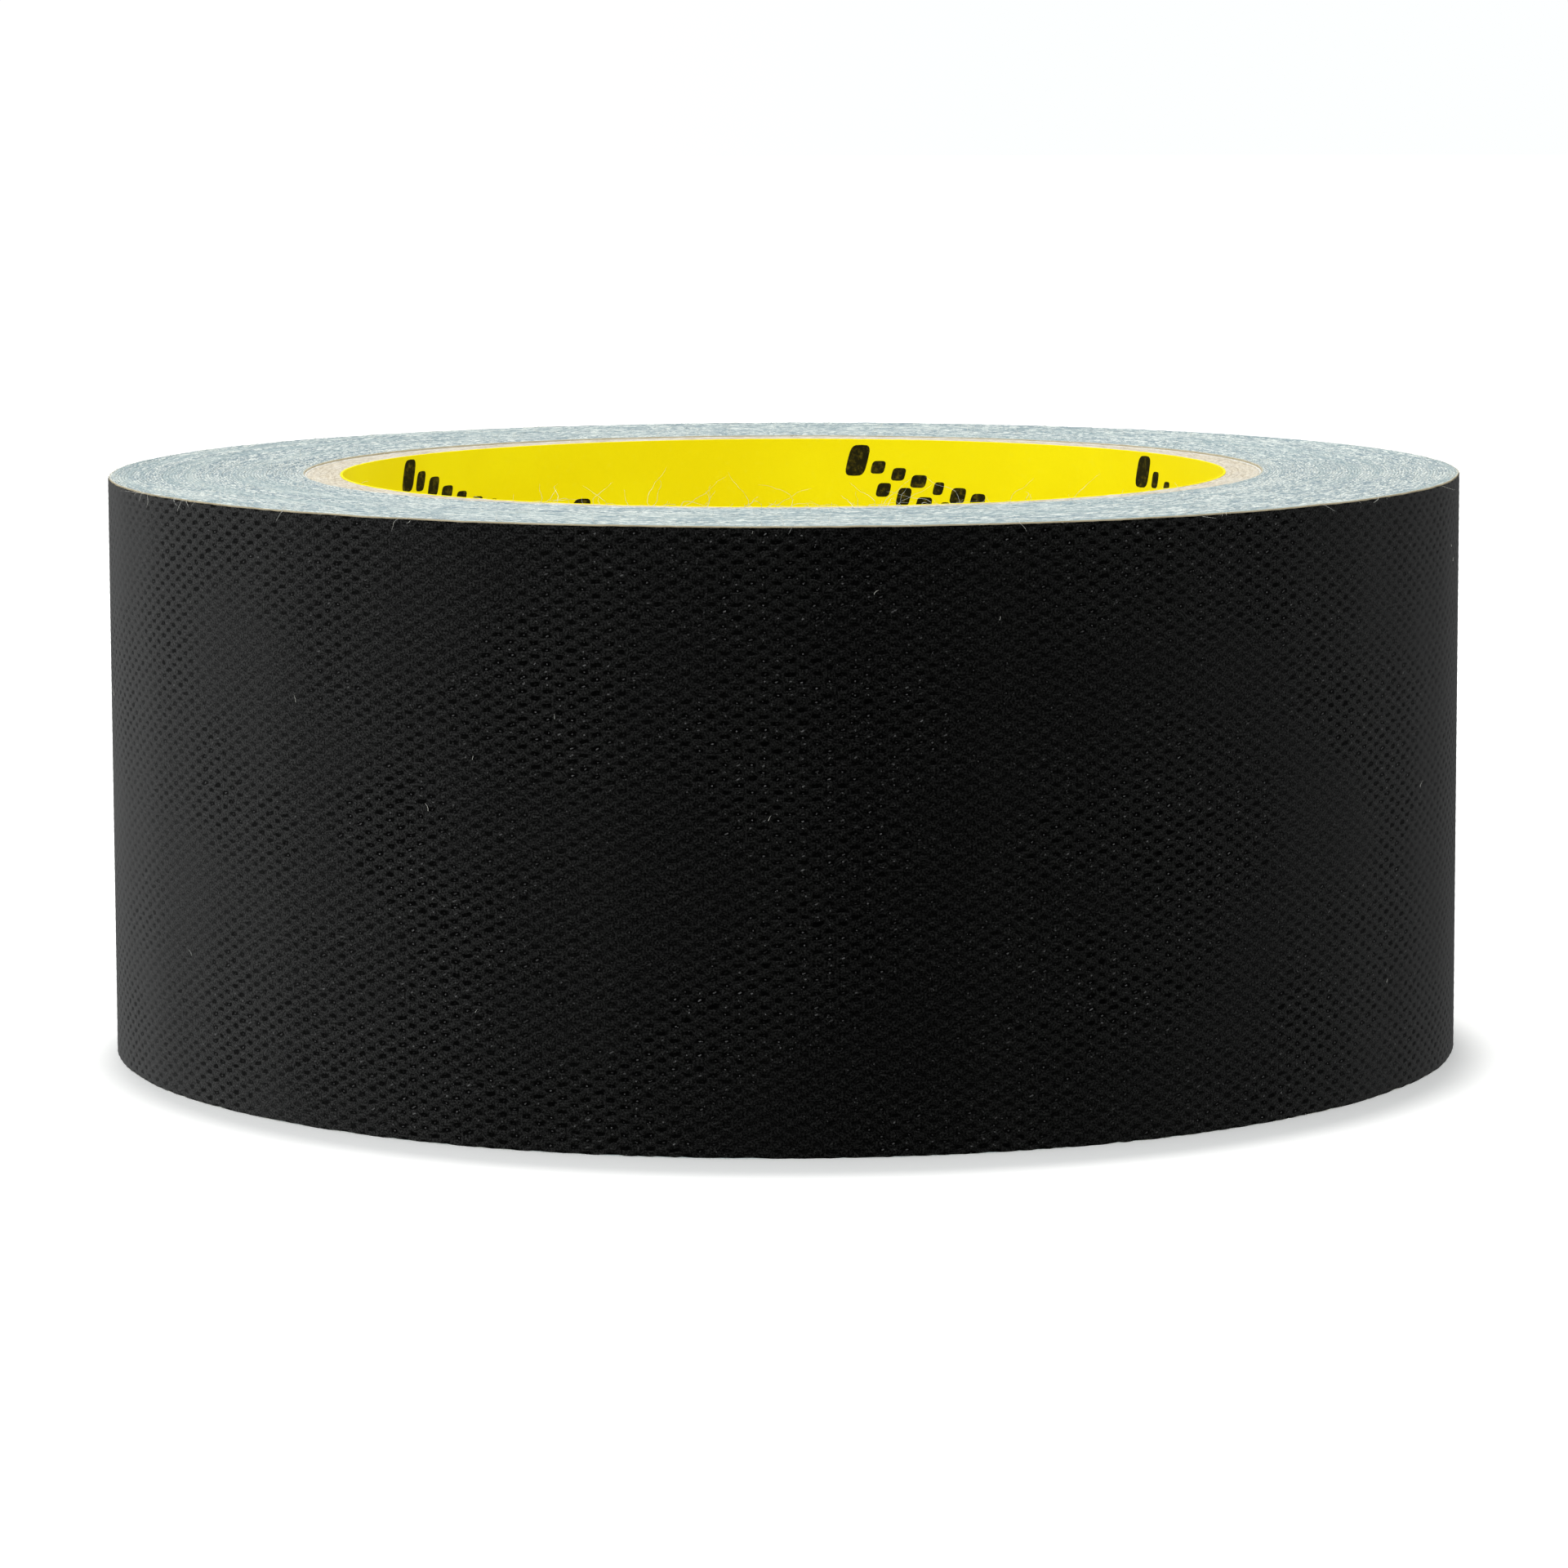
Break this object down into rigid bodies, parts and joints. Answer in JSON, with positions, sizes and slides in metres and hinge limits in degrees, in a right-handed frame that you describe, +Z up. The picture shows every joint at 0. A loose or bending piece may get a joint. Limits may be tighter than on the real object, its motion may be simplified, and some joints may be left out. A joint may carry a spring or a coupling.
{
  "type": "cloth tape roll",
  "caption": "Roll of black woven-cloth adhesive tape on a paperboard core with a yellow lined bore and a free end that peels away.",
  "frame": {"origin": "centre of the roll's underside, on the core's axis", "axes": "+Z up along the core's axis; the tape's free end is at the back, towards +Y and -X"},
  "size_m": [0.1169, 0.117, 0.05],
  "materials": {
    "liner_paper": null,
    "core_board": "raw paperboard, matte",
    "wrap_paper": "raw paper, matte",
    "tape_edge": "cut edges of the wound turns: white cloth between black film and clear adhesive",
    "tape_adhesive": "tacky pressure-sensitive adhesive, satin",
    "tape_cloth": "plain-weave cotton and polyester scrim",
    "tape_film": "polyethylene film embossed by the weave below it, satin"
  },
  "bodies": {
    "roll": {"core_liner": "liner_paper", "core_ply_1": "core_board", "core_ply_2": "core_board", "core_ply_3": "core_board", "core_ply_4": "core_board", "core_ply_5": "core_board", "core_wrap": "wrap_paper", "wound_tape": "tape_edge", "outer_turn_adhesive": "tape_adhesive", "outer_turn_cloth": "tape_cloth", "outer_turn_film": "tape_film"},
    "tail_1": {"tail_1_adhesive": "tape_adhesive", "tail_1_cloth": "tape_cloth", "tail_1_film": "tape_film"},
    "tail_2": {"tail_2_adhesive": "tape_adhesive", "tail_2_cloth": "tape_cloth", "tail_2_film": "tape_film"},
    "tail_3": {"tail_3_adhesive": "tape_adhesive", "tail_3_cloth": "tape_cloth", "tail_3_film": "tape_film"},
    "tail_4": {"tail_4_adhesive": "tape_adhesive", "tail_4_cloth": "tape_cloth", "tail_4_film": "tape_film"},
    "tail_5": {"tail_5_adhesive": "tape_adhesive", "tail_5_cloth": "tape_cloth", "tail_5_film": "tape_film"}
  },
  "joints": [
    {"name": "tail_peel", "type": "hinge", "parent": "roll", "child": "tail_1", "pos_m": [-0.00518, 0.05839, 0.025], "axis": [0, 0, -1], "range_deg": [0, 20]},
    {"name": "tail_bend_2", "type": "hinge", "parent": "tail_1", "child": "tail_2", "pos_m": [-0.0172, 0.05605, 0.025], "axis": [0, 0, -1], "range_deg": [0, 20]},
    {"name": "tail_bend_3", "type": "hinge", "parent": "tail_2", "child": "tail_3", "pos_m": [-0.02848, 0.05126, 0.025], "axis": [0, 0, -1], "range_deg": [0, 20]},
    {"name": "tail_bend_4", "type": "hinge", "parent": "tail_3", "child": "tail_4", "pos_m": [-0.03852, 0.04423, 0.025], "axis": [0, 0, -1], "range_deg": [0, 20]},
    {"name": "tail_bend_5", "type": "hinge", "parent": "tail_4", "child": "tail_5", "pos_m": [-0.04688, 0.03527, 0.025], "axis": [0, 0, -1], "range_deg": [0, 20]}
  ],
  "couplings": [
    {"joint": "tail_bend_2", "follows": "tail_peel", "ratio": 1},
    {"joint": "tail_bend_3", "follows": "tail_peel", "ratio": 1},
    {"joint": "tail_bend_4", "follows": "tail_peel", "ratio": 1},
    {"joint": "tail_bend_5", "follows": "tail_peel", "ratio": 1}
  ]
}
